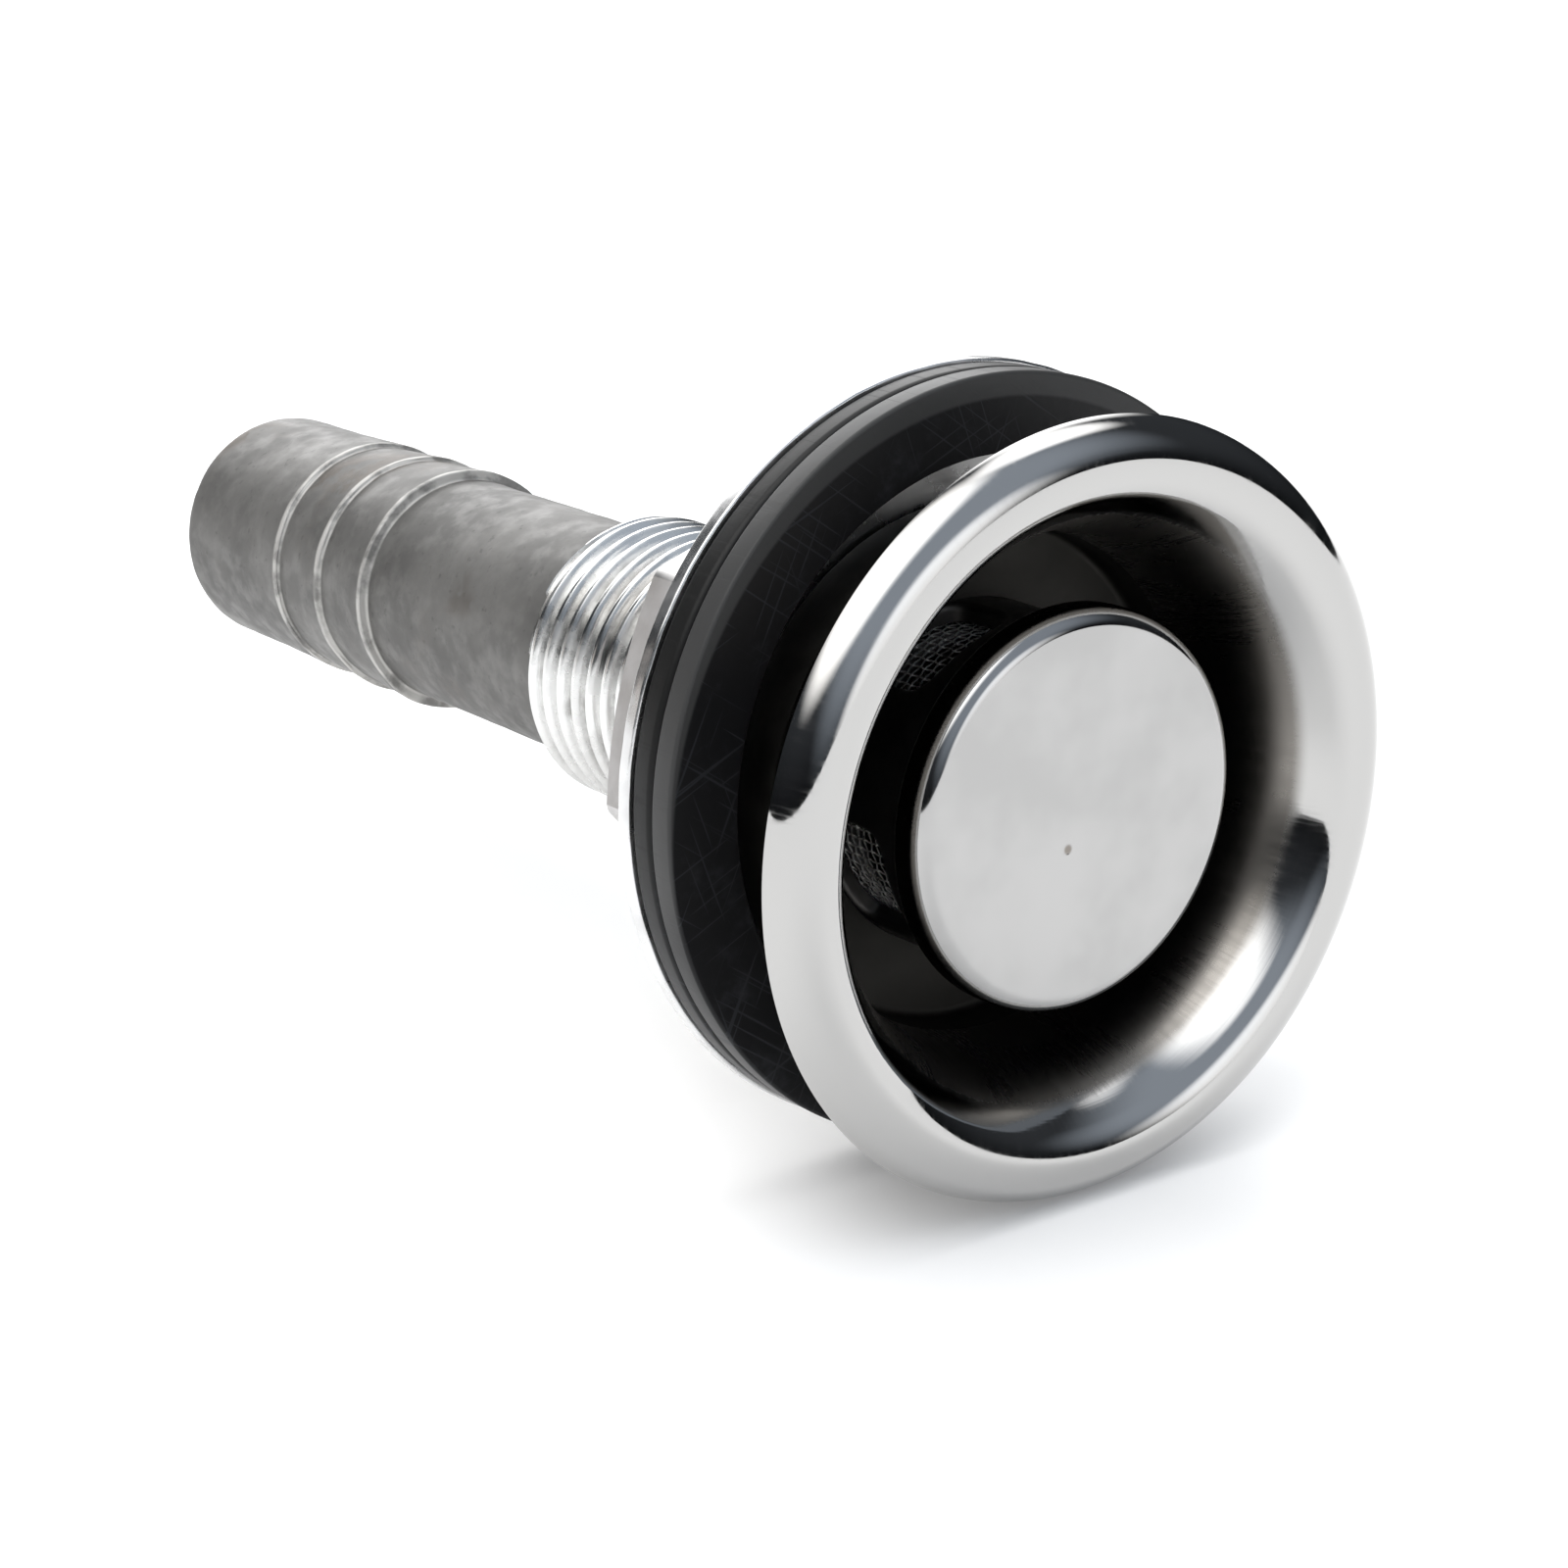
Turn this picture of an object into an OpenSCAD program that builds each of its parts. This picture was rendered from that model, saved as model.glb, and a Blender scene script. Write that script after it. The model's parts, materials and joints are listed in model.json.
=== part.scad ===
// Flush-mount vent thru-hull fitting for a boat, in stainless steel.
// The bell-mouthed flange faces -Y, outboard. The stem, the nut and the hose
// tail run along +Y, inboard. +Z is up. The origin is the centre of the
// flange's flat back, the plane that seats on the hull. Millimetres.

/* [Flange and bowl] */
// Outer diameter of the polished lip
flange_d = 50; // [49:0.5:51]
// Radial width of the half-round lip
lip_w = 5.5; // [5:0.1:6]
// Height of the lip's crest in front of the seat plane
lip_h = 2.3; // [2:0.1:2.6]
// Inner diameter of the bowl behind the bell mouth
bowl_d = 33; // [32.6:0.1:33.2]
// Depth of the bell mouth, from the seat plane to the straight bowl
bell_depth = 9; // [8.6:0.1:9.4]
// Depth of the bowl's back face
bowl_depth = 13.2; // [13:0.1:13.2]
// Wall of the bell and the bowl
wall = 1.2; // [1:0.1:1.4]

/* [Vent hub] */
// Diameter of the round cap
cap_d = 26; // [25:0.2:27]
// Depth of the cap's back face
cap_back = 3; // [2.8:0.1:3.4]
// Radius of the cap's rounded edge
cap_edge = 1.4; // [1:0.1:1.6]
// Outer diameter of the windowed hub
hub_d = 23; // [22.6:0.1:23.4]
// Number of windows round the hub
windows = 4; // [3:1:5]
// Width of a window round the hub
window_w = 8.6; // [7:0.2:9]
// Angle of the first window
window_turn = 65; // [0:5:90]

/* [Stem] */
// Major diameter of the half-inch pipe thread
thread_d = 20.955; // [20.9:0.005:21]
// Pitch of the thread
pitch = 1.814; // [1.8:0.002:1.82]
// Distance of the thread's inboard end from the seat plane
thread_end = 48.4; // [48:0.1:52]
// Diameter of the plain neck and of the passage's outer wall
neck_d = 17.6; // [17.2:0.1:18]
// Diameter of the passage through the stem
passage_d = 14.8; // [13:0.1:15]
// Outer diameter of the hose spigot, for hose of 19 mm bore
spigot_d = 18.8; // [18.6:0.1:19]
// Diameter over the crests of the hose barbs
barb_d = 19.2; // [19.1:0.1:20]
// Distance of the stem's inboard end from the seat plane
stem_end = 102.4; // [98:0.2:110]

/* [Clamping parts] */
// Outer diameter of both gaskets
gasket_d = 50; // [48:0.5:50]
// Hole through both gaskets
gasket_hole = 39.8; // [39.6:0.1:40]
// Thickness of the outboard gasket
outer_gasket_t = 1.9; // [1.5:0.1:2]
// Thickness of the inboard gasket
inner_gasket_t = 2.1; // [1.5:0.1:2.1]
// Outer diameter of the steel washer
washer_d = 50.4; // [48:0.2:50.4]
// Hole through the steel washer
washer_hole = 24.6; // [24.4:0.1:26]
// Thickness of the steel washer
washer_t = 1.1; // [0.9:0.1:1.2]
// How far the loose gaskets and washer sit above the stem's axis
stack_lift = 1.3; // [0:0.1:1.3]
// Width across the nut's flats
nut_af = 28; // [27:0.5:30]
// Height of the nut
nut_h = 9; // [8:0.5:9]
// Depth of the nut's inboard face
nut_back = 31.3; // [30:0.1:31.3]
// Turn of the nut's corners about the stem
nut_turn = 45; // [0:5:60]

/* [Hidden] */
$fn = 96;
tiny = 0.01;
// How far a cutting shape runs past what it cuts
past = 1;

flange_r = flange_d / 2;
lip_arc = (lip_w * lip_w / 4 + lip_h * lip_h) / (2 * lip_h);
lip_centre = [flange_r - lip_w / 2, lip_arc - lip_h];

bowl_r = bowl_d / 2;
bowl_out = bowl_r + wall;
floor_t = 1.3;
// The bell's arc meets the lip's arc almost tangentially, a hair inside it.
lip_reach = lip_arc - tiny;
bell_rise = lip_centre[0] - bowl_r;
bell_fall = bell_depth - lip_centre[1];
bell_arc = (bell_rise * bell_rise + bell_fall * bell_fall - lip_reach * lip_reach)
    / (2 * (bell_rise - lip_reach));
bell_start = lip_centre[1] - lip_arc * bell_fall / (bell_arc - lip_reach);

hub_r = hub_d / 2;
hub_wall = 1.2;
hub_bore = hub_r - hub_wall;
hub_seat = 0.8;
hub_end = bowl_depth - floor_t + hub_seat;
slip = 0.05;
spigot_in = 1.6;
cap_r = cap_d / 2;
cap_t = 2.9;
cap_crown = 0.35;
crown_steps = 720;

window_top = 6.2;
window_bottom = bowl_depth - floor_t;
window_corner = 2.6;

screen_t = 0.25;
screen_r = hub_bore - slip;
retainer_t = 0.7;
retainer_h = 2.2;

thread_r = thread_d / 2;
// A pipe thread is cut 0.64 of its pitch deep.
depth_ratio = 0.64;
thread_root = thread_r - depth_ratio * pitch;
crest_land = pitch / 4;
root_land = pitch / 8;
lead = 0.4;
turns = floor((thread_end - lead - bowl_depth) / pitch);

passage_r = passage_d / 2;
neck_r = neck_d / 2;
spigot_r = spigot_d / 2;
barb_r = barb_d / 2;
barb_sink = 0.2;
barb_foot = spigot_r - barb_sink;
barb_gap = 6.7;
barbs = 3;
barb_first = 73;
end_round = 1;

gasket_r = gasket_d / 2;
inner_edge = 0.5;
outer_edge = 0.2;
washer_edge = 0.2;
// The gap between one loose piece and the next
stack_gap = 0.1;
washer_y = bowl_depth + stack_gap;
inner_gasket_y = washer_y - inner_gasket_t;
outer_gasket_y = inner_gasket_y - stack_gap - outer_gasket_t;
thread_slack = 0.1;
nut_bore = thread_r + thread_slack;
nut_corner = nut_af / sqrt(3);
nut_bevel = 30;

// Turns a shape drawn along the local z axis, as depth behind the seat plane, onto +Y.
module along_stem() {
    rotate([-90, 0, 0])
        children();
}

// Places a loose piece a little above the stem's axis.
module lifted() {
    translate([0, 0, stack_lift])
        children();
}

// A plain tube from depth y0 to depth y1.
module tube(outer, inner, y0, y1) {
    rotate_extrude()
        translate([inner, y0])
            square([outer - inner, y1 - y0]);
}

// A ring of rectangular section with rounded outer edges.
module soft_ring(outer, inner, y0, thick, edge) {
    rotate_extrude() {
        translate([inner, y0])
            square([outer - edge - inner, thick]);
        translate([outer - edge - tiny, y0 + edge])
            square([edge + tiny, thick - 2 * edge]);
        for (y = [y0 + edge, y0 + thick - edge])
            translate([outer - edge, y])
                circle(edge);
    }
}

// The half-round section of the lip, in front of the seat plane.
module lip_section() {
    intersection() {
        translate(lip_centre)
            circle(lip_arc);
        translate([flange_r - lip_w - past, -lip_h - past])
            square([lip_w + 2 * past, lip_h + past]);
    }
}

// The trumpet wall between two arcs about one centre, from inside the lip to the bowl.
module bell_section() {
    intersection() {
        translate([bowl_r + bell_arc, bell_depth])
            difference() {
                circle(bell_arc);
                circle(bell_arc - wall);
            }
        translate([bowl_r - past, bell_start])
            square([bell_rise + past, bell_depth - bell_start]);
    }
}

module bell_flange() {
    color("gainsboro")
        along_stem()
            rotate_extrude() {
                lip_section();
                bell_section();
            }
}

// The cup that carries the vent hub: its wall, floor, hub seat and passage.
module bowl_housing() {
    color("silver")
        along_stem()
            rotate_extrude()
                difference() {
                    translate([passage_r, bell_depth])
                        square([bowl_out - passage_r, bowl_depth - bell_depth]);
                    translate([0, bell_depth - past])
                        square([bowl_r, bowl_depth - floor_t - bell_depth + past]);
                    translate([0, bell_depth])
                        square([hub_r, hub_end - bell_depth]);
                }
}

// The round button: a low crown, a rounded rim and a spigot into the hub.
module vent_cap() {
    crown = (cap_r * cap_r + cap_crown * cap_crown) / (2 * cap_crown);
    face = cap_back - cap_t;
    color("whitesmoke")
        along_stem()
            rotate_extrude() {
                intersection() {
                    union() {
                        translate([0, face])
                            square([cap_r - cap_edge, cap_t]);
                        translate([cap_r - cap_edge, face + cap_edge])
                            circle(cap_edge);
                        translate([0, face + cap_edge])
                            square([cap_r, cap_t - cap_edge]);
                    }
                    translate([0, face + crown])
                        circle(crown, $fn = crown_steps);
                    translate([0, face - past])
                        square([cap_r + past, cap_t + past]);
                }
                translate([screen_r - hub_wall, cap_back])
                    square([hub_wall, spigot_in]);
            }
}

// One window: a rounded slot that runs out through the hub's wall.
module window_cut() {
    high = window_bottom - window_top;
    side = window_w / 2 - window_corner;
    lift = high / 2 - window_corner;
    translate([0, 0, (window_top + window_bottom) / 2])
        rotate([90, 0, 90])
            linear_extrude(hub_r + past) {
                square([2 * side, high], center = true);
                square([window_w, 2 * lift], center = true);
                for (x = [-side, side], y = [-lift, lift])
                    translate([x, y])
                        circle(window_corner);
            }
}

module vent_hub() {
    color("lightgray")
        along_stem()
            difference() {
                tube(hub_r, hub_bore, cap_back, hub_end);
                for (i = [0 : windows - 1])
                    rotate([0, 0, window_turn + i * 360 / windows])
                        window_cut();
            }
}

// The rolled wire screen behind the windows, as a plain sleeve.
module flame_screen() {
    color("dimgray")
        along_stem()
            tube(screen_r, screen_r - screen_t, cap_back + spigot_in, hub_end);
}

// The ring that holds the screen out against the hub.
module screen_retainer() {
    ring_r = screen_r - screen_t;
    color("darkgray")
        along_stem()
            tube(ring_r, ring_r - retainer_t, hub_end - retainer_h, hub_end);
}

// One groove of the thread, from depth y, as the four points of its section.
function groove(y) =
    let (flank = (pitch - crest_land - root_land) / 2)
    [[thread_r, y],
     [thread_root, y + flank],
     [thread_root, y + flank + root_land],
     [thread_r, y + pitch - crest_land]];

// The thread is cut as rings, each with a flat crest at the major diameter.
module threaded_sleeve() {
    first = thread_end - lead - turns * pitch;
    color("lightgray")
        along_stem()
            rotate_extrude()
                polygon(concat(
                    [[passage_r, bowl_depth], [thread_r, bowl_depth]],
                    [for (i = [0 : turns - 1], point = groove(first + i * pitch)) point],
                    [[thread_r, thread_end - lead],
                     [thread_r - lead, thread_end],
                     [passage_r, thread_end]]
                ));
}

// The neck, the hose barbs and the spigot's rounded end.
module hose_tail() {
    first = barb_first;
    last = barb_first + (barbs - 1) * barb_gap;
    color("gray")
        along_stem()
            rotate_extrude() {
                translate([passage_r, thread_end])
                    square([neck_r - passage_r, first - thread_end + tiny]);
                for (i = [0 : barbs - 2])
                    polygon([[passage_r, first + i * barb_gap],
                             [barb_r, first + i * barb_gap],
                             [barb_foot, first + (i + 1) * barb_gap],
                             [passage_r, first + (i + 1) * barb_gap]]);
                polygon([[passage_r, last],
                         [barb_r, last],
                         [spigot_r, last + barb_gap],
                         [spigot_r, stem_end - end_round],
                         [spigot_r - end_round, stem_end],
                         [passage_r, stem_end]]);
            }
}

module outer_gasket() {
    color("black")
        lifted()
            along_stem()
                soft_ring(gasket_r, gasket_hole / 2, outer_gasket_y, outer_gasket_t, outer_edge);
}

module inner_gasket() {
    color([0.1, 0.1, 0.1])
        lifted()
            along_stem()
                soft_ring(gasket_r, gasket_hole / 2, inner_gasket_y, inner_gasket_t, inner_edge);
}

module steel_washer() {
    color("silver")
        lifted()
            along_stem()
                soft_ring(washer_d / 2, washer_hole / 2, washer_y, washer_t, washer_edge);
}

// A hexagon with bevelled corners at both ends.
module hex_nut() {
    start = nut_back - nut_h;
    drop = (nut_corner - nut_af / 2) * tan(nut_bevel);
    color("silver")
        along_stem()
            difference() {
                intersection() {
                    translate([0, 0, start])
                        rotate([0, 0, nut_turn])
                            cylinder(r = nut_corner, h = nut_h, $fn = 6);
                    rotate_extrude()
                        polygon([[0, start],
                                 [nut_af / 2, start],
                                 [nut_corner + tiny, start + drop],
                                 [nut_corner + tiny, nut_back - drop],
                                 [nut_af / 2, nut_back],
                                 [0, nut_back]]);
                }
                translate([0, 0, start - past])
                    cylinder(r = nut_bore, h = nut_h + 2 * past);
            }
}

bell_flange();
bowl_housing();
vent_cap();
vent_hub();
flame_screen();
screen_retainer();
threaded_sleeve();
hose_tail();
outer_gasket();
inner_gasket();
steel_washer();
hex_nut();
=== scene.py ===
"""A flush-mount vent thru-hull fitting in stainless steel, seen in a plain studio."""
import json
import math

import bmesh
import bpy
from mathutils import Matrix, Vector, noise


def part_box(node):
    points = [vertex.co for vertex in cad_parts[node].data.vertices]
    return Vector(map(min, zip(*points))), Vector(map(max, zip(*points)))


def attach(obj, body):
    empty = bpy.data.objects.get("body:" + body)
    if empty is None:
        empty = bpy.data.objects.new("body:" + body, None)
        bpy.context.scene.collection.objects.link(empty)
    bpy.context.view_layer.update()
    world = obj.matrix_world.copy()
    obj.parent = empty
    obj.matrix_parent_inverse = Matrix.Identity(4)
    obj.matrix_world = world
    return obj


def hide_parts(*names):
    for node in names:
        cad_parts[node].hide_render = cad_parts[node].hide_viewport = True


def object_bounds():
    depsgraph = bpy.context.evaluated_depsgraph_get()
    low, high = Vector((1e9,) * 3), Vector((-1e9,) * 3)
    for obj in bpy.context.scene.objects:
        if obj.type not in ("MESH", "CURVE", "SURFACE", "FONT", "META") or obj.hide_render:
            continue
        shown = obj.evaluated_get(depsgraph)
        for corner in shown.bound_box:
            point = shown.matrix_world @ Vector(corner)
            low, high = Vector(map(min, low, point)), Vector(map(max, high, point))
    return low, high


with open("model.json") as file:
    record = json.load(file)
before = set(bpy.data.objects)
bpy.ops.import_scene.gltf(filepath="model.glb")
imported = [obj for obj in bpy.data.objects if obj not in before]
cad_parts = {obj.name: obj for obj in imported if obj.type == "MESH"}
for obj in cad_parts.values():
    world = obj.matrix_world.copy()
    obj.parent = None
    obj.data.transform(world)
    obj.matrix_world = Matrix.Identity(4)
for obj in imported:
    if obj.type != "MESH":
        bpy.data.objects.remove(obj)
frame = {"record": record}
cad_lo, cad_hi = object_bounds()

MM = 0.001
TAU = 2 * math.pi
MOUNTS = {mount["name"]: mount["dims"] for mount in frame["record"]["mounts"]}


def depth(node, end):
    """A node's outboard (0) or inboard (1) end along the stem, in millimetres."""
    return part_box(node)[end].y / MM


def radius(node):
    """A round node's outer radius, in millimetres."""
    low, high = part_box(node)
    return (high.x - low.x) / 2 / MM


def lift(node):
    """How far a loose node sits above the stem's axis, in millimetres."""
    low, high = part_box(node)
    return (high.z + low.z) / 2 / MM


# Radii and depths in millimetres. Depth runs inboard from the hull seat, along +Y.
FLANGE_R = radius("bell_flange")
LIP_W = 5.5
LIP_IN = FLANGE_R - LIP_W
LIP_H = -depth("bell_flange", 0)
BELL_END = depth("bell_flange", 1)
BOWL_OUT = radius("bowl_housing")
WALL = 1.2
BOWL_R = BOWL_OUT - WALL
BOWL_END = depth("bowl_housing", 1)
BOWL_FLOOR = 1.3
FLOOR = BOWL_END - BOWL_FLOOR
HUB_R = radius("vent_hub")
HUB_WALL = 1.2
HUB_BORE = HUB_R - HUB_WALL
CAP_R = radius("vent_cap")
PASSAGE_R = MOUNTS["tail_bore"]["r_mm"]
SPIGOT_R = MOUNTS["hose_spigot"]["r_mm"]
THREAD_R = radius("threaded_sleeve")
# G 1/2 pipe thread, which is cut 0.64 of its pitch deep.
PITCH = 1.814
DEPTH_RATIO = 0.64
THREAD_ROOT = THREAD_R - DEPTH_RATIO * PITCH
GASKET_R = radius("outer_gasket")
GASKET_HOLE = 19.9
WASHER_HOLE = 12.2
# The first barb's crest, the step from one to the next, and how many there are.
BARB_FIRST, BARB_GAP, BARBS = 73.0, 6.7, 3

# The fitted camera: place in metres, angles in degrees, lens in millimetres.
CAMERA_PLACE = (-0.1292, -0.1405, 0.0610)
AZIMUTH, ELEVATION = -36.98, 17.23
LENS = 74.25

# Soft boxes: direction, half-angles of the bright core and of the fading edge, in
# degrees, and colour times strength. The first is the whole room's dim light.
SOFT_BOXES = [
    (0, 0, 1, 60, 100, (0.05, 0.055, 0.062)),
    (-0.45, 0.00, 0.88, 16, 42, (3.3, 3.27, 3.22)),
    (0.30, 0.76, 0.50, 18, 32, (3.6, 3.6, 3.6)),
    (-0.65, 0.76, 0.05, 4, 12, (0.74, 0.68, 0.64)),
    (0.0, -0.66, 0.75, 24, 56, (0.40, 0.45, 0.52)),
    (0.25, -0.96, 0.12, 8, 24, (1.6, 1.6, 1.6)),
    (0.42, 0.15, 0.90, 8, 22, (2.8, 2.8, 2.8)),
]


# Mesh helpers. A section is a list of (radius, depth) points in millimetres.

def arc(centre, r, start, end, steps):
    """Points of an arc in the (radius, depth) plane, angles in degrees."""
    points = []
    for i in range(steps + 1):
        a = math.radians(start + (end - start) * i / steps)
        points.append((centre[0] + r * math.cos(a), centre[1] + r * math.sin(a)))
    return points


def rounded(points, radii, steps=5):
    """A closed section with its corners rounded; a radius of 0 leaves a corner sharp."""
    out = []
    for i, point in enumerate(points):
        here = Vector(point)
        back = Vector(points[i - 1]) - here
        ahead = Vector(points[(i + 1) % len(points)]) - here
        r = radii[i]
        if r == 0:
            out.append(point)
            continue
        back.normalize()
        ahead.normalize()
        half = back.angle(ahead) / 2
        reach = r / math.tan(half)
        a, b = here + back * reach, here + ahead * reach
        centre = here + (back + ahead).normalized() * (r / math.sin(half))
        for k in range(steps + 1):
            chord = a.lerp(b, k / steps) - centre
            out.append(tuple(centre + chord.normalized() * r))
    return out


def refine(section, step):
    """Splits a section's long stretches, so that its surface can be roughened."""
    out = []
    for i, (r, y) in enumerate(section):
        r2, y2 = section[(i + 1) % len(section)]
        count = max(1, round(math.hypot(r2 - r, y2 - y) / step))
        out += [(r + (r2 - r) * k / count, y + (y2 - y) * k / count) for k in range(count)]
    return out


def turned(r, y, a, raised=0):
    """The point in metres at a radius, depth and angle about the stem's axis."""
    return (r * math.cos(a) * MM, y * MM, (r * math.sin(a) + raised) * MM)


def wrapped(rings, n):
    """Faces between rings of n points each, closed both ways."""
    faces = []
    for i in range(rings):
        i2 = (i + 1) % rings
        for j in range(n):
            k = (j + 1) % n
            faces.append((i * n + j, i * n + k, i2 * n + k, i2 * n + j))
    return faces


def spun(section, steps, wobble=None, raised=0):
    """Vertices and faces of a closed section spun about the stem's axis."""
    verts = []
    for i in range(steps):
        a = TAU * i / steps
        for r, y in section:
            if wobble:
                r, y = wobble(r, y, a)
            verts.append(turned(r, y, a, raised))
    return verts, wrapped(steps, len(section))


def piece(name, mesh_data, material, node, smooth=30):
    """A finished piece that stands for a CAD node and rides with its body."""
    verts, faces = mesh_data
    mesh = bpy.data.meshes.new(name)
    mesh.from_pydata(verts, [], faces)
    obj = bpy.data.objects.new(name, mesh)
    bpy.context.scene.collection.objects.link(obj)
    clean(mesh, smooth)
    mesh.materials.append(material)
    body = next(b for b, nodes in frame["record"]["behaviour"]["bodies"].items() if node in nodes)
    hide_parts(node)
    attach(obj, body)
    return obj


def clean(mesh, smooth):
    """Merges doubled points, drops flat slivers, turns faces outward and shades smooth."""
    work = bmesh.new()
    work.from_mesh(mesh)
    bmesh.ops.remove_doubles(work, verts=work.verts, dist=1e-6)
    bmesh.ops.dissolve_degenerate(work, edges=work.edges, dist=1e-7)
    bmesh.ops.recalc_face_normals(work, faces=work.faces)
    work.to_mesh(mesh)
    work.free()
    mesh.shade_smooth()
    mesh.set_sharp_from_angle(angle=math.radians(smooth))


def ripple(x, y, z, scale, seed):
    """Smooth noise from -1 to 1 over a wave length of scale millimetres."""
    return noise.noise(Vector((x / scale + seed, y / scale, z / scale)))


def rough(amount, scale, seed):
    """A wobble that pushes a spun surface in and out by up to amount millimetres."""
    def wobble(r, y, a):
        push = amount * ripple(r * math.cos(a), y, r * math.sin(a), scale, seed)
        return r + push, y
    return wobble


# Materials

class Shade:
    """A Principled material and short calls for the nodes behind it."""

    def __init__(self, name, colour, metallic, roughness, **sockets):
        self.material = bpy.data.materials.new(name)
        self.material.use_nodes = True
        self.tree = self.material.node_tree
        self.bsdf = self.tree.nodes["Principled BSDF"]
        self.bsdf.inputs["Base Color"].default_value = (*colour, 1)
        self.bsdf.inputs["Metallic"].default_value = metallic
        self.bsdf.inputs["Roughness"].default_value = roughness
        for socket, value in sockets.items():
            self.bsdf.inputs[socket.replace("_", " ")].default_value = value
        self.place = self.node("ShaderNodeTexCoord").outputs["Object"]
        self.bumps = []

    def node(self, kind, **settings):
        """A new shader node with the given settings."""
        made = self.tree.nodes.new(kind)
        for key, value in settings.items():
            setattr(made, key, value)
        return made

    def feed(self, made, **links):
        """Links or sets a node's inputs, with _ for each space in their names."""
        for socket, value in links.items():
            target = made.inputs[socket.replace("_", " ")]
            if isinstance(value, bpy.types.NodeSocket):
                self.tree.links.new(value, target)
            else:
                target.default_value = value
        return made

    def stretched(self, x, y, z, turn=0.0):
        """Coordinates turned about Y and scaled, for marks that run one way."""
        mapping = self.node("ShaderNodeMapping", vector_type="TEXTURE")
        mapping.inputs["Rotation"].default_value = (0, turn, 0)
        mapping.inputs["Scale"].default_value = (1 / x, 1 / y, 1 / z)
        self.tree.links.new(self.place, mapping.inputs["Vector"])
        return mapping.outputs["Vector"]

    def polar(self, radial, along, turn):
        """Coordinates (radius, depth, angle), so that marks run round the axis."""
        split = self.node("ShaderNodeSeparateXYZ")
        self.tree.links.new(self.place, split.inputs[0])
        squares = self.math("ADD", self.math("MULTIPLY", split.outputs[0], split.outputs[0]),
                            self.math("MULTIPLY", split.outputs[2], split.outputs[2]))
        join = self.node("ShaderNodeCombineXYZ")
        r = self.math("SQRT", squares)
        angle = self.math("ARCTAN2", split.outputs[2], split.outputs[0])
        scaled = [(r, radial), (split.outputs[1], along), (angle, turn)]
        for i, (value, scale) in enumerate(scaled):
            self.tree.links.new(self.math("MULTIPLY", value, scale), join.inputs[i])
        return join.outputs[0]

    def radial(self):
        """Distance from the stem's axis, in millimetres."""
        split = self.node("ShaderNodeSeparateXYZ")
        self.tree.links.new(self.polar(1 / MM, 1 / MM, 1), split.inputs[0])
        return split.outputs[0]

    def along(self):
        """Depth behind the hull seat, in millimetres."""
        split = self.node("ShaderNodeSeparateXYZ")
        self.tree.links.new(self.place, split.inputs[0])
        return self.math("MULTIPLY", split.outputs[1], 1 / MM)

    def math(self, operation, a, b=0.0):
        """One sum on sockets or numbers."""
        made = self.node("ShaderNodeMath", operation=operation)
        for i, value in enumerate((a, b)):
            if isinstance(value, bpy.types.NodeSocket):
                self.tree.links.new(value, made.inputs[i])
            else:
                made.inputs[i].default_value = value
        return made.outputs[0]

    def noise(self, scale, detail=4, vector=None, rough=0.55):
        """Cloudy noise from 0 to 1, by default in the object's own coordinates."""
        made = self.node("ShaderNodeTexNoise")
        self.feed(made, Scale=scale, Detail=detail, Roughness=rough, Vector=vector or self.place)
        return made.outputs["Fac"]

    def cells(self, scale):
        """Distance to the nearest of many scattered points."""
        made = self.node("ShaderNodeTexVoronoi")
        self.feed(made, Scale=scale, Vector=self.place)
        return made.outputs["Distance"]

    def band(self, value, low, high, out_low=0.0, out_high=1.0):
        """value from low to high, mapped smoothly to out_low to out_high."""
        made = self.node("ShaderNodeMapRange", interpolation_type="SMOOTHSTEP")
        self.feed(made, Value=value, From_Min=low, From_Max=high, To_Min=out_low, To_Max=out_high)
        return made.outputs[0]

    def mix(self, factor, a, b):
        """Colour a where the factor is 0, colour b where it is 1."""
        made = self.node("ShaderNodeMix", data_type="RGBA")
        for index, value in ((0, factor), (6, a), (7, b)):
            if isinstance(value, bpy.types.NodeSocket):
                self.tree.links.new(value, made.inputs[index])
            elif index == 0:
                made.inputs[index].default_value = value
            else:
                made.inputs[index].default_value = (*value, 1)
        return made.outputs[2]

    def colour(self, socket):
        self.tree.links.new(socket, self.bsdf.inputs["Base Color"])

    def roughness(self, socket):
        self.tree.links.new(socket, self.bsdf.inputs["Roughness"])

    def bump(self, height, distance, strength=1.0):
        """Adds a bump of so many millimetres on top of those before it."""
        made = self.node("ShaderNodeBump")
        self.feed(made, Height=height, Distance=distance * MM, Strength=strength)
        if self.bumps:
            self.tree.links.new(self.bumps[-1], made.inputs["Normal"])
        self.bumps.append(made.outputs[0])
        self.tree.links.new(made.outputs[0], self.bsdf.inputs["Normal"])


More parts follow.
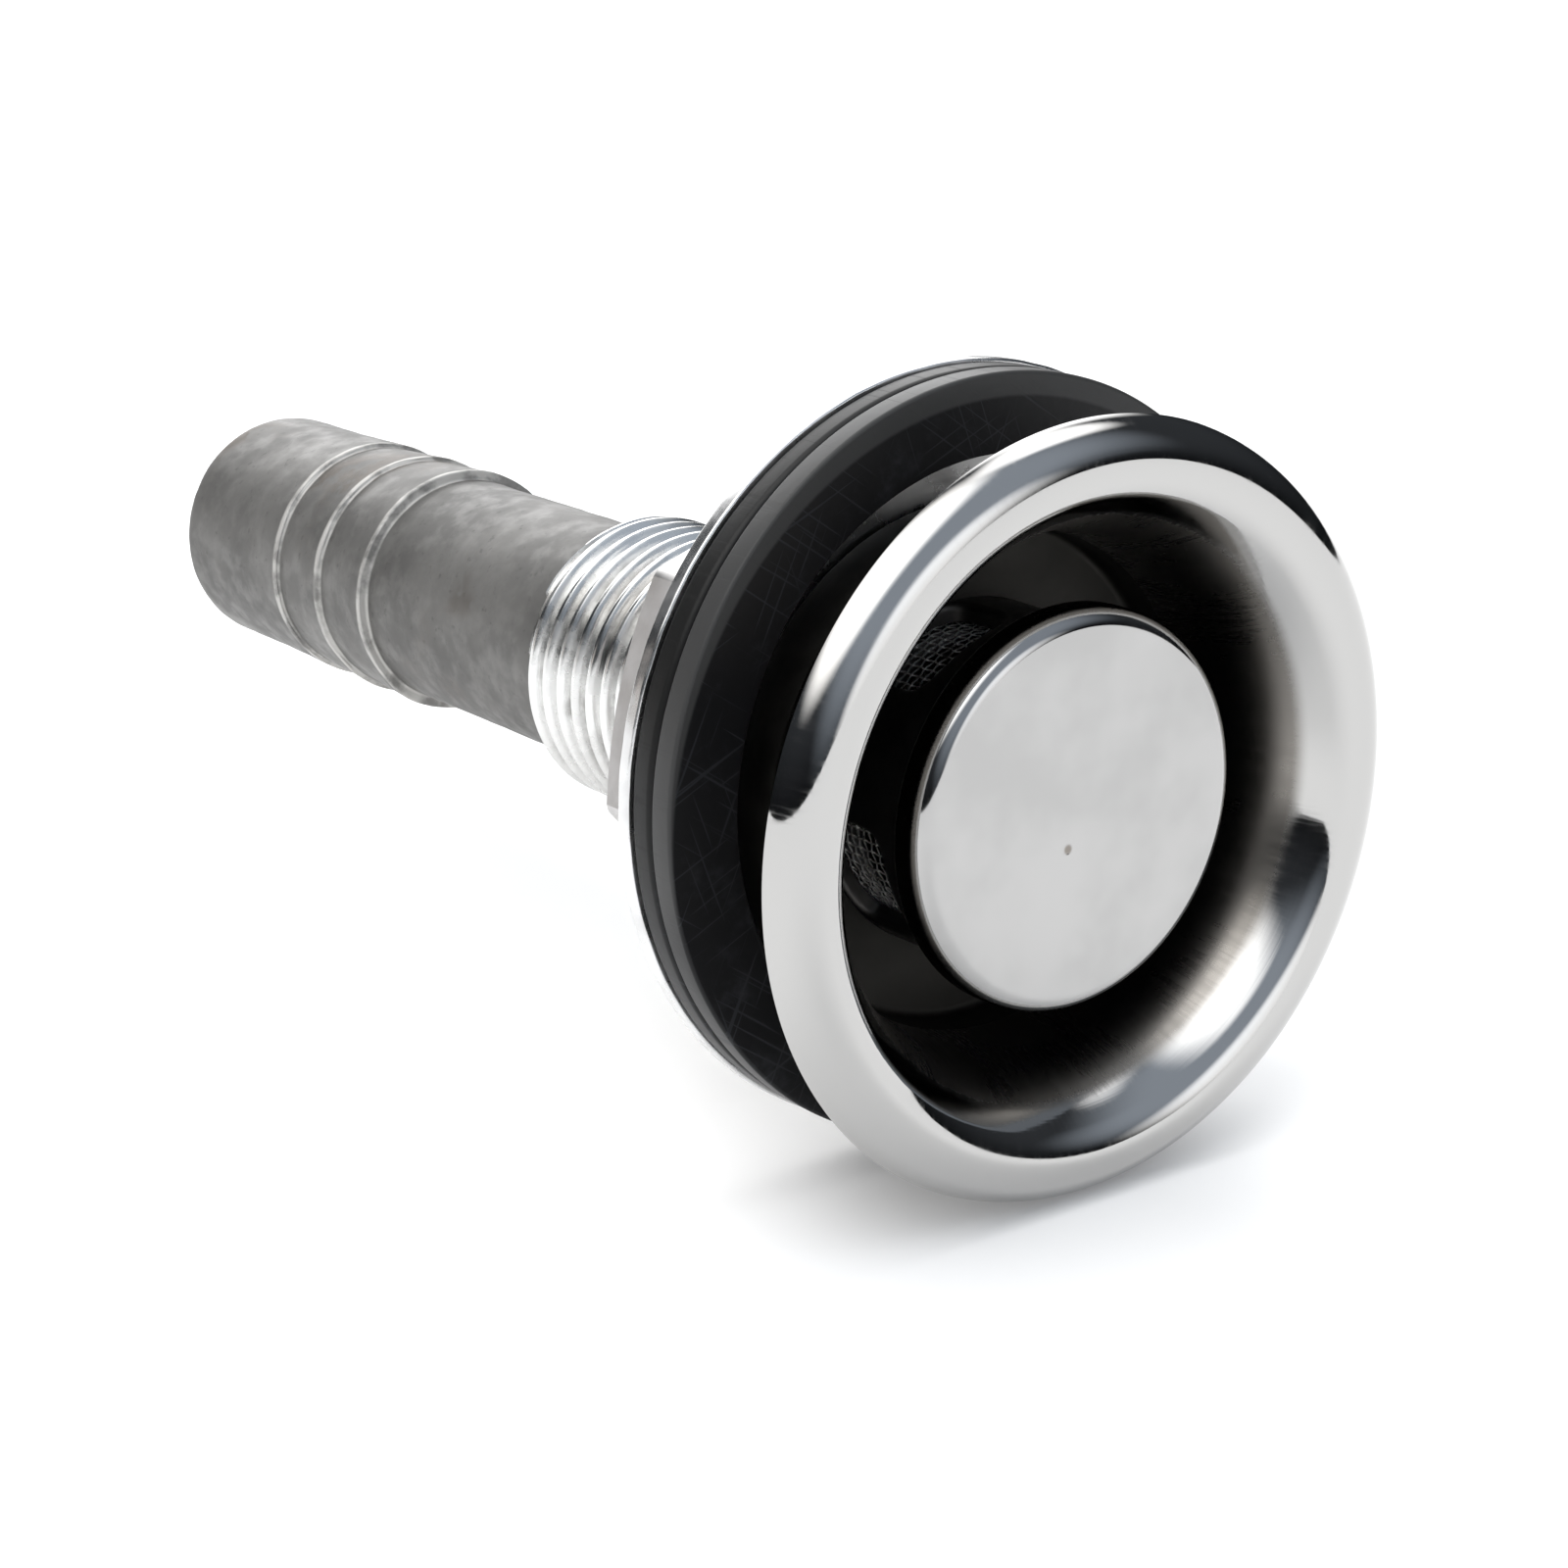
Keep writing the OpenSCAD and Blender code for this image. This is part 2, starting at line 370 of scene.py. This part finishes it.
def polished_flange():
    """Mirror polish on the lip, fading to a duller finish down the bell, with painted shade that
    makes its colour ever darker with depth.
    """
    # The dull and deepest colours darken the bell down its depth: painted shade. The duller
    # finish there is also rougher.
    polished, dull, painted_shade_colour = (0.455, 0.45, 0.442), (0.21, 0.198, 0.182), (0.07, 0.066, 0.062)
    s = Shade("polished_flange", polished, 1.0, 0.08)
    bell = s.band(s.radial(), LIP_IN + 0.3, LIP_IN + 0.6, 1.0, 0.0)
    inside = s.math("MULTIPLY", s.band(s.along(), -0.2, 0.9), bell)
    # Painted shade: the colour goes ever darker with depth into the bell.
    shade_with_depth = s.math("MULTIPLY", s.band(s.along(), 0.5, 5.0), bell)
    s.colour(s.mix(shade_with_depth, s.mix(inside, polished, dull), painted_shade_colour))
    smudge = s.noise(180, 5)
    hairline = s.noise(1.0, 2, s.polar(250, 250, 75))
    hairs = s.band(hairline, 0.42, 0.68, 0.0, 0.05)
    polish = s.math("ADD", s.band(smudge, 0.35, 0.7, 0.04, 0.09), hairs)
    s.roughness(s.math("ADD", polish, s.math("MULTIPLY", inside, 0.22)))
    s.bump(s.noise(1.0, 3, s.polar(5200, 5200, 1.2)), 0.002)
    s.bump(hairline, 0.0004)
    s.bump(s.noise(90, 2), 0.02)
    return s.material


def polished_cap():
    """A polished face with a faint cloudiness and a few pinholes."""
    s = Shade("polished_cap", (0.4, 0.396, 0.392), 1.0, 0.08)
    cloud = s.noise(120, 3)
    s.roughness(s.band(cloud, 0.35, 0.65, 0.06, 0.12))
    pits = s.band(s.cells(190), 0.05, 0.09, 0.0, 1.0)
    chosen = s.band(s.noise(160, 1), 0.60, 0.66, 1.0, 0.0)
    clean_metal = s.math("MAXIMUM", pits, chosen)
    tone = s.mix(s.band(cloud, 0.35, 0.65), (0.38, 0.377, 0.373), (0.425, 0.421, 0.417))
    s.colour(s.mix(clean_metal, (0.22, 0.20, 0.18), tone))
    s.bump(cloud, 0.006)
    s.bump(clean_metal, 0.04)
    return s.material


def satin(name, colour, low, high, grain=0.01):
    """Turned or rolled steel with fine marks running round the axis."""
    s = Shade(name, colour, 1.0, low)
    wear = s.noise(260, 5)
    s.roughness(s.band(wear, 0.3, 0.7, low, high))
    dull = tuple(0.78 * c for c in colour)
    s.colour(s.mix(s.band(wear, 0.3, 0.62), dull, colour))
    s.bump(s.noise(1.0, 3, s.polar(3400, 3400, 2.0)), grain)
    s.bump(s.noise(700, 4), grain)
    return s.material


def wire_steel():
    """Drawn wire, bright, with grimy patches here and there."""
    s = Shade("wire_steel", (0.85, 0.84, 0.81), 0.8, 0.3)
    wear = s.noise(800, 3)
    s.colour(s.mix(s.band(wear, 0.3, 0.5), (0.55, 0.53, 0.50), (0.97, 0.96, 0.94)))
    s.roughness(s.band(wear, 0.3, 0.7, 0.26, 0.42))
    s.bump(wear, 0.01)
    return s.material


def thread_steel():
    """Bright thread crests, darker in patches in the roots: painted shade."""
    bright = (0.74, 0.74, 0.73)
    s = Shade("thread_steel", bright, 1.0, 0.2)
    # Painted shade: darker in patches down in the thread roots.
    root_shade = s.math("MULTIPLY", s.band(s.noise(210, 5), 0.48, 0.62),
                   s.band(s.radial(), THREAD_R - 1.1, THREAD_R - 0.1, 1.0, 0.15))
    s.colour(s.mix(root_shade, bright, (0.16, 0.15, 0.14)))
    s.roughness(s.band(s.noise(500, 4), 0.3, 0.7, 0.16, 0.34))
    s.bump(s.noise(1.0, 3, s.polar(3000, 3000, 3.0)), 0.012)
    return s.material


def cast_steel():
    """Rough cast steel: clouded grey, a few brown stains and pale barb crests, worn and with a
    painted highlight.
    """
    s = Shade("cast_steel", (0.2, 0.2, 0.19), 0.35, 0.55, Specular_IOR_Level=0.3)
    clouds = s.noise(110, 4)
    grain = s.noise(520, 6)
    specks = s.noise(1500, 4)
    tone = s.mix(s.band(clouds, 0.36, 0.64), (0.105, 0.103, 0.099), (0.15, 0.147, 0.141))
    tone = s.mix(s.band(grain, 0.42, 0.70, 0.0, 0.4), tone, (0.21, 0.206, 0.198))
    tone = s.mix(s.band(specks, 0.60, 0.72, 0.0, 0.5), tone, (0.07, 0.068, 0.064))
    stain = s.math("MULTIPLY", s.band(s.noise(60, 3), 0.54, 0.66), s.band(grain, 0.40, 0.56))
    tone = s.mix(s.math("MULTIPLY", stain, 0.8), tone, (0.06, 0.046, 0.034))
    along = s.along()
    barbs_start, barbs_end = BARB_FIRST - 0.3, BARB_FIRST + (BARBS - 0.5) * BARB_GAP
    behind = s.math("MODULO", s.math("SUBTRACT", along, barbs_start), BARB_GAP)
    crest = s.math("MULTIPLY", s.band(behind, 0.0, 0.25), s.band(behind, 0.55, 0.9, 1.0, 0.0))
    barbed = s.math("MULTIPLY", s.band(along, barbs_start - 0.1, barbs_start),
                    s.band(along, barbs_end - 0.1 * BARB_GAP, barbs_end, 1.0, 0.0))
    # Pale barb crests: worn metal, and a painted highlight along each crest, in patches.
    worn = s.math("MULTIPLY", s.math("MULTIPLY", crest, barbed),
                  s.band(s.noise(420, 4), 0.34, 0.56, 0.25, 1.0))
    s.colour(s.mix(worn, tone, (0.5, 0.49, 0.47)))
    s.roughness(s.band(grain, 0.3, 0.7, 0.56, 0.44))
    s.bump(clouds, 0.08)
    s.bump(grain, 0.035)
    return s.material


def black_rubber(name, side):
    """Black rubber: a side in the given grey, which is a painted sheen, and a face with dust,
    scuffs and scratches.
    """
    face = (0.007, 0.007, 0.008)
    s = Shade(name, face, 0.0, 0.42, Specular_IOR_Level=0.2)
    dust = s.band(s.noise(220, 8, rough=0.7), 0.52, 0.80, 0.0, 0.35)
    marks = dust
    for turn, threshold in ((0.6, 0.65), (2.0, 0.67), (1.2, 0.68), (2.7, 0.68)):
        streaks = s.noise(1.0, 1, s.stretched(70, 90, 3600, turn))
        line = s.band(streaks, threshold, threshold + 0.04)
        marks = s.math("MAXIMUM", marks, s.math("MULTIPLY", line, 0.22))
    # Painted sheen: the ring's outer side is painted the given lighter grey.
    edge = s.band(s.radial(), GASKET_R - 0.4, GASKET_R - 0.1)
    s.colour(s.mix(edge, s.mix(marks, face, (0.07, 0.075, 0.085)), (side, side, side)))
    s.roughness(s.band(marks, 0.0, 0.6, 0.38, 0.60))
    s.bump(s.noise(1400, 5), 0.012)
    s.bump(marks, -0.01)
    return s.material


# Pieces

def make_flange(material):
    """The half-round lip flowing into the trumpet wall behind it, as one pressed piece."""
    lip_arc = (LIP_W ** 2 / 4 + LIP_H ** 2) / (2 * LIP_H)
    lip_centre = (FLANGE_R - LIP_W / 2, lip_arc - LIP_H)
    rise, fall = lip_centre[0] - BOWL_R, BELL_END - lip_centre[1]
    bell_arc = (rise ** 2 + fall ** 2 - lip_arc ** 2) / (2 * (rise - lip_arc))
    centre = (BOWL_R + bell_arc, BELL_END)
    back = math.degrees(math.asin(lip_centre[1] / lip_arc))
    meet = math.degrees(math.asin(fall / (bell_arc - lip_arc)))
    outer = math.degrees(math.asin(BELL_END / (bell_arc - WALL)))
    section = arc(lip_centre, lip_arc, -back, meet - 180, 64)
    section += arc(centre, bell_arc, 180 + meet, 180, 64)[1:]
    section += arc(centre, bell_arc - WALL, 180, 180 + outer, 24)
    return piece("bell_flange_shell", spun(section, 360), material, "bell_flange")


def make_housing(material):
    """The cup behind the bell, with the seat for the hub and the passage."""
    seat_depth = 0.8
    seat = FLOOR + seat_depth
    section = rounded(
        [(BOWL_R, BELL_END), (BOWL_R, FLOOR), (HUB_R, FLOOR), (HUB_R, seat),
         (PASSAGE_R, seat), (PASSAGE_R, BOWL_END), (BOWL_OUT, BOWL_END), (BOWL_OUT, BELL_END)],
        [0, 0.5, 0, 0, 0.2, 0, 0.35, 0])
    return piece("bowl_housing_cup", spun(refine(section, 1.0), 256), material, "bowl_housing")


def make_cap(material):
    """The button: a low crown, a rounded rim and its hollow spigot."""
    face = depth("vent_cap", 0)
    back, end = depth("vent_hub", 0), depth("vent_cap", 1)
    spigot, spigot_wall = HUB_BORE - 0.05, 1.2
    crown, crown_steps, crown_reach = 0.3, 24, 0.9
    shares = [crown_reach * k / crown_steps for k in range(crown_steps + 1)]
    domed = [(CAP_R * share, face + crown * share ** 2) for share in shares]
    points = domed + [(CAP_R, face + crown), (CAP_R, back), (spigot, back), (spigot, end),
                      (spigot - spigot_wall, end), (spigot - spigot_wall, back), (0, back)]
    radii = [0] * len(domed) + [1.25, 0.3, 0, 0.1, 0.1, 0, 0]
    section = rounded(points, radii, 12)
    return piece("vent_cap_button", spun(section, 256), material, "vent_cap", 40)


def make_hub(material):
    """The windowed ring. Each window's rim is rolled inward, all round."""
    windows, first = 4, math.radians(25)
    window_top, half_w = 6.2, 4.3
    half_h = (FLOOR - window_top) / 2
    middle = window_top + half_h
    squareness = 4.2
    rim, rim_steps = 0.5, 6
    steps = 96
    half_cell = TAU * HUB_R / windows / 2
    up, down = depth("vent_hub", 0) - middle, depth("vent_hub", 1) - middle

    def edge(i):
        """Point i of the window's edge, measured from the window's middle."""
        a = TAU * (i / steps)
        c, s = math.cos(a), math.sin(a)
        k = (abs(c / half_w) ** squareness + abs(s / half_h) ** squareness) ** (-1 / squareness)
        return c * k, s * k

    def border(u, v):
        """The point of the cell's border in the same direction as an edge point."""
        grow_u = half_cell / abs(u) if u else math.inf
        grow_v = (down if v > 0 else up) / v if v else math.inf
        grow = min(grow_u, grow_v)
        return u * grow, v * grow

    edges = [edge(i) for i in range(steps)]
    borders = [border(u, v) for u, v in edges]
    for u, v in [(side * half_cell, end) for side in (-1, 1) for end in (up, down)]:
        gaps = [math.hypot(bu - u, bv - v) for bu, bv in borders]
        borders[gaps.index(min(gaps))] = (u, v)
    on_ends = [[abs(v - end) < 1e-6 for end in (up, down)] for u, v in borders]

    def loop(share, inset, r, turn):
        """A loop from the border (share 0) to inset outside the window's edge (share 1)."""
        points = []
        for (bu, bv), (eu, ev) in zip(borders, edges):
            size = math.hypot(eu, ev)
            gu, gv = eu + eu / size * inset, ev + ev / size * inset
            u, v = bu + (gu - bu) * share, bv + (gv - bv) * share
            points.append(turned(r, middle + v, turn + u / HUB_R))
        return points

    verts, faces = [], []
    for w in range(windows):
        turn = first + w * TAU / windows
        loops = [loop(0.0, rim, HUB_R, turn), loop(0.6, rim, HUB_R, turn)]
        for k in range(rim_steps + 1):
            a = math.pi / 2 * k / rim_steps
            inset, drop = rim * (1 - math.sin(a)), rim * (1 - math.cos(a))
            loops.append(loop(1.0, inset, HUB_R - drop, turn))
        loops += [loop(1.0, 0.0, HUB_BORE, turn), loop(0.0, rim, HUB_BORE, turn)]
        base = len(verts)
        for points in loops:
            verts += points
        for m in range(len(loops) - 1):
            here, after = base + m * steps, base + (m + 1) * steps
            for i in range(steps):
                j = (i + 1) % steps
                faces.append((here + i, here + j, after + j, after + i))
        last = base + (len(loops) - 1) * steps
        for i in range(steps):
            j = (i + 1) % steps
            if any(a and b for a, b in zip(on_ends[i], on_ends[j])):
                faces.append((base + i, base + j, last + j, last + i))
    return piece("vent_hub_ring", (verts, faces), material, "vent_hub", 50)


def tube(points, r, sides, closed):
    """A round wire along points, all in millimetres."""
    verts, faces, n = [], [], len(points)
    for i, point in enumerate(points):
        after = points[(i + 1) % n] if closed or i + 1 < n else point
        before = points[i - 1] if closed or i else point
        ahead = (Vector(after) - Vector(before)).normalized()
        out = Vector((point[0], 0, point[2])).normalized()
        side = ahead.cross(out).normalized()
        out = side.cross(ahead).normalized()
        for k in range(sides):
            a = TAU * k / sides
            offset = out * (r * math.cos(a)) + side * (r * math.sin(a))
            verts.append(tuple((Vector(point) + offset) * MM))
    for i in range(n if closed else n - 1):
        j = (i + 1) % n
        for k in range(sides):
            m = (k + 1) % sides
            faces.append((i * sides + k, i * sides + m, j * sides + m, j * sides + k))
    if not closed:
        faces.append(tuple(range(sides)))
        faces.append(tuple((n - 1) * sides + k for k in range(sides)))
    return verts, faces


def make_screen(material):
    """Plain-weave wire gauze, rolled into a sleeve: rings over and under uprights."""
    wire, weave = 0.06, 0.055
    middle_r = HUB_BORE - 0.18
    uprights, rings = 90, 14
    ring_steps = uprights * 4
    top, bottom = depth("flame_screen", 0), depth("flame_screen", 1)
    gap = (bottom - top - 2 * wire) / (rings - 1)
    verts, faces = [], []

    def add(data):
        base = len(verts)
        verts.extend(data[0])
        faces.extend(tuple(base + v for v in face) for face in data[1])

    for ring in range(rings):
        y = top + wire + ring * gap
        points = []
        for i in range(ring_steps):
            a = TAU * i / ring_steps
            r = middle_r + weave * math.cos(uprights / 2 * a + math.pi * ring)
            points.append((r * math.cos(a), y, r * math.sin(a)))
        add(tube(points, wire, 6, True))
    for i in range(uprights):
        a = TAU * i / uprights
        points = []
        for k in range((rings - 1) * 4 + 1):
            swing = math.cos(math.pi * (k / 4 + i + 1))
            r = middle_r + weave * swing
            points.append((r * math.cos(a), top + wire + k / 4 * gap, r * math.sin(a)))
        add(tube(points, wire, 6, False))
    return piece("flame_screen_gauze", (verts, faces), material, "flame_screen", 60)


def make_retainer(material):
    """The ring that holds the screen out, with rounded edges."""
    gap, wall = 0.08, 0.62
    outer = radius("screen_retainer") - gap
    y0, y1 = depth("screen_retainer", 0), depth("screen_retainer", 1)
    corners = [(outer - wall, y0), (outer, y0), (outer, y1), (outer - wall, y1)]
    section = rounded(corners, [0.2] * 4)
    return piece("screen_retainer_ring", spun(section, 192), material, "screen_retainer")


def make_sleeve(material):
    """The stem's thread: one helix that runs out at the bowl, chamfered at the tail."""
    start, end = depth("threaded_sleeve", 0), depth("threaded_sleeve", 1)
    around, across = 180, 14
    plain, run_out, chamfer = 0.3, 2.2, 0.4
    root_flat, flank = 0.10, 0.66

    def height(y, a):
        """The thread's radius at a depth and an angle."""
        phase = (y / PITCH - a / TAU) % 1.0
        rise = 1 - abs(2 * phase - 1)
        level = min(1.0, max(0.0, (rise - root_flat) / flank))
        groove = (THREAD_R - THREAD_ROOT) * (1 - level)
        groove *= min(1.0, max(0.0, (y - start - plain) / run_out))
        cut = max(0.0, y - (end - chamfer))
        return THREAD_R - max(groove, cut)

    verts, faces = [], []
    rows = int((end - start) / PITCH * across) + 2 * across
    for j in range(rows + 1):
        for i in range(around + 1):
            a = TAU * i / around
            y = start + PITCH * (j / across + i / around - 1)
            held = min(end, max(start, y))
            r = THREAD_R if held == start else height(held, a)
            if held == end:
                r = THREAD_ROOT
            verts.append(turned(r, held, a))
    width = around + 1
    for j in range(rows):
        for i in range(around):
            here, after = j * width + i, (j + 1) * width + i
            faces.append((here, here + 1, after + 1, after))
    base = len(verts)
    inside = [(THREAD_R, start), (PASSAGE_R, start), (PASSAGE_R, end), (THREAD_ROOT, end)]
    for r, y in inside:
        verts += [turned(r, y, TAU * i / around) for i in range(around)]
    for k in range(len(inside) - 1):
        here, after = base + k * around, base + (k + 1) * around
        for i in range(around):
            j = (i + 1) % around
            faces.append((here + i, here + j, after + j, after + i))
    return piece("threaded_sleeve_helix", (verts, faces), material, "threaded_sleeve", 40)


def make_tail(material):
    """The cast neck, three worn barbs and the spigot's rounded end."""
    start, end = depth("hose_tail", 0), depth("hose_tail", 1)
    neck, crest = 8.8, radius("hose_tail")
    foot = SPIGOT_R - 0.2
    points, radii = [(PASSAGE_R, start), (neck, start)], [0, 0]
    under = neck
    for i in range(BARBS):
        y = BARB_FIRST + i * BARB_GAP
        points += [(under, y - 0.02), (crest, y)]
        radii += [0.25, 0.18]
        under = foot
    points += [(SPIGOT_R, BARB_FIRST + BARBS * BARB_GAP), (SPIGOT_R, end), (PASSAGE_R, end)]
    radii += [2.0, 0.95, 0.3]
    section = refine(rounded(points, radii, 5), 0.4)

    def worn(r, y, a):
        """Cast unevenness all over, and barb crests that are worn lower in places."""
        x, z = r * math.cos(a), r * math.sin(a)
        if r > SPIGOT_R:
            r = SPIGOT_R + (r - SPIGOT_R) * (0.85 + 0.5 * ripple(x, y, z, 3.5, 2.0))
            y += 0.12 * ripple(x, y, z, 2.0, 4.0)
        return r + 0.05 * ripple(x, y, z, 2.6, 7.0) + 0.015 * ripple(x, y, z, 0.7, 1.0), y

    data = spun(section, 320, worn)
    return piece("hose_tail_casting", data, material, "hose_tail", 55)


def make_ring(name, node, hole, edge, material, wobble=None, smooth=35):
    """A flat ring with rounded edges: a gasket or the washer."""
    y0, y1, outer = depth(node, 0), depth(node, 1), radius(node)
    inner_edge = min(edge, 0.15)
    section = rounded([(hole, y0), (outer, y0), (outer, y1), (hole, y1)],
                      [inner_edge, edge, edge, inner_edge], 6)
    data = spun(refine(section, 0.8), 320, wobble, lift(node))
    return piece(name, data, material, node, smooth)


def make_nut(material):
    """A hexagon with its corners cut back to a cone at both ends, by angle round it."""
    y0, y1 = depth("hex_nut", 0), depth("hex_nut", 1)
    flat, bore = 14.0, THREAD_R + 0.1
    first_corner, sixth = math.radians(15), TAU / 6
    slope = math.tan(math.radians(30))
    mouth, round_off = 0.7, 0.12
    steps = 360
    verts = []
    for i in range(steps):
        a = TAU * i / steps
        off = (a - first_corner) % sixth - sixth / 2
        r = min(flat / math.cos(off), flat / math.cos(sixth / 2) - round_off)
        drop = (r - flat) * slope
        half = [(bore, mouth), (bore + mouth, 0), (flat - 0.5, 0), (flat - round_off, 0.02),
                (r - round_off / 2, drop + 0.03), (r, drop + round_off)]
        section = [(x, y0 + y) for x, y in half] + [(x, y1 - y) for x, y in reversed(half)]
        verts += [turned(x, y, a) for x, y in section]
    data = verts, wrapped(steps, 2 * len(half))
    return piece("hex_nut_turned", data, material, "hex_nut", 20)


# Studio

def make_stage():
    """A pale floor just under the object, glowing slightly to lighten the shadow."""
    gap = 0.0002
    bpy.ops.mesh.primitive_plane_add(size=6, location=(0, 0, cad_lo.z - gap))
    floor = bpy.context.object
    floor.name = "studio_floor"
    s = Shade("studio_floor", (0.9, 0.9, 0.9), 0.0, 0.8)
    s.colour(s.mix(s.noise(3, 2), (0.89, 0.89, 0.89), (0.91, 0.91, 0.91)))
    s.feed(s.bsdf, Emission_Color=(1, 1, 1, 1), Emission_Strength=0.12)
    floor.data.materials.append(s.material)


def make_world():
    """A dark studio with soft boxes, far off; straight to the camera it is white."""
    world = bpy.data.worlds.new("studio")
    world.use_nodes = True
    tree = world.node_tree
    background = tree.nodes["Background"]
    direction = tree.nodes.new("ShaderNodeTexCoord").outputs["Generated"]
    total = None
    for x, y, z, inner, outer, colour in SOFT_BOXES:
        dot = tree.nodes.new("ShaderNodeVectorMath")
        dot.operation = "DOT_PRODUCT"
        dot.inputs[1].default_value = Vector((x, y, z)).normalized()
        tree.links.new(direction, dot.inputs[0])
        edge = tree.nodes.new("ShaderNodeMapRange")
        edge.interpolation_type = "SMOOTHSTEP"
        edge.inputs["From Min"].default_value = math.cos(math.radians(outer))
        edge.inputs["From Max"].default_value = math.cos(math.radians(inner))
        tree.links.new(dot.outputs["Value"], edge.inputs["Value"])
        glow = tree.nodes.new("ShaderNodeVectorMath")
        glow.operation = "SCALE"
        glow.inputs[0].default_value = colour
        tree.links.new(edge.outputs[0], glow.inputs["Scale"])
        if total is None:
            total = glow.outputs[0]
        else:
            add = tree.nodes.new("ShaderNodeVectorMath")
            add.operation = "ADD"
            tree.links.new(total, add.inputs[0])
            tree.links.new(glow.outputs[0], add.inputs[1])
            total = add.outputs[0]
    seen = tree.nodes.new("ShaderNodeMix")
    seen.data_type = "RGBA"
    seen.inputs[7].default_value = (1, 1, 1, 1)
    tree.links.new(tree.nodes.new("ShaderNodeLightPath").outputs["Is Camera Ray"], seen.inputs[0])
    tree.links.new(total, seen.inputs[6])
    tree.links.new(seen.outputs[2], background.inputs["Color"])
    bpy.context.scene.world = world
    bpy.context.scene.view_settings.view_transform = "Standard"


def make_camera():
    """Looks at the fitting from its front left, a little above it."""
    azimuth, elevation = math.radians(AZIMUTH), math.radians(ELEVATION)
    look = Vector((-math.sin(azimuth) * math.cos(elevation),
                   math.cos(azimuth) * math.cos(elevation), -math.sin(elevation)))
    data = bpy.data.cameras.new("camera")
    data.sensor_width = 36
    data.lens = LENS
    data.clip_start = 0.005
    camera = bpy.data.objects.new("camera", data)
    side = look.cross(Vector((0, 0, 1))).normalized()
    up = side.cross(look)
    turn = Matrix((side, up, -look)).transposed().to_4x4()
    camera.matrix_world = Matrix.Translation(Vector(CAMERA_PLACE)) @ turn
    bpy.context.scene.collection.objects.link(camera)
    bpy.context.scene.camera = camera


make_camera()
make_world()
make_stage()

make_flange(polished_flange())
# Painted shade: the bowl's steel is painted near black, deep in the bell.
make_housing(satin("bowl_steel", (0.045, 0.043, 0.04), 0.5, 0.65))
make_cap(polished_cap())
# Painted shade: the hub's steel is painted dark, at the bottom of the bowl.
make_hub(satin("hub_steel", (0.1, 0.096, 0.092), 0.36, 0.5))
make_screen(wire_steel())
make_retainer(satin("ring_steel", (0.25, 0.245, 0.24), 0.3, 0.45))
make_sleeve(thread_steel())
make_tail(cast_steel())
# The outer gasket's side is painted a lighter grey than the inner's: a painted sheen.
make_ring("outer_gasket_rubber", "outer_gasket", GASKET_HOLE, 0.25,
          black_rubber("gasket_rubber_outer", 0.045), rough(0.05, 9.0, 3.0))
make_ring("inner_gasket_rubber", "inner_gasket", GASKET_HOLE, 0.5,
          black_rubber("gasket_rubber_inner", 0.009), rough(0.06, 9.0, 5.0))
make_ring("steel_washer_stamped", "steel_washer", WASHER_HOLE, 0.18,
          satin("washer_steel", (0.74, 0.74, 0.74), 0.2, 0.36), rough(0.05, 1.6, 9.0))
make_nut(satin("nut_steel", (0.61, 0.6, 0.595), 0.3, 0.44, 0.006))
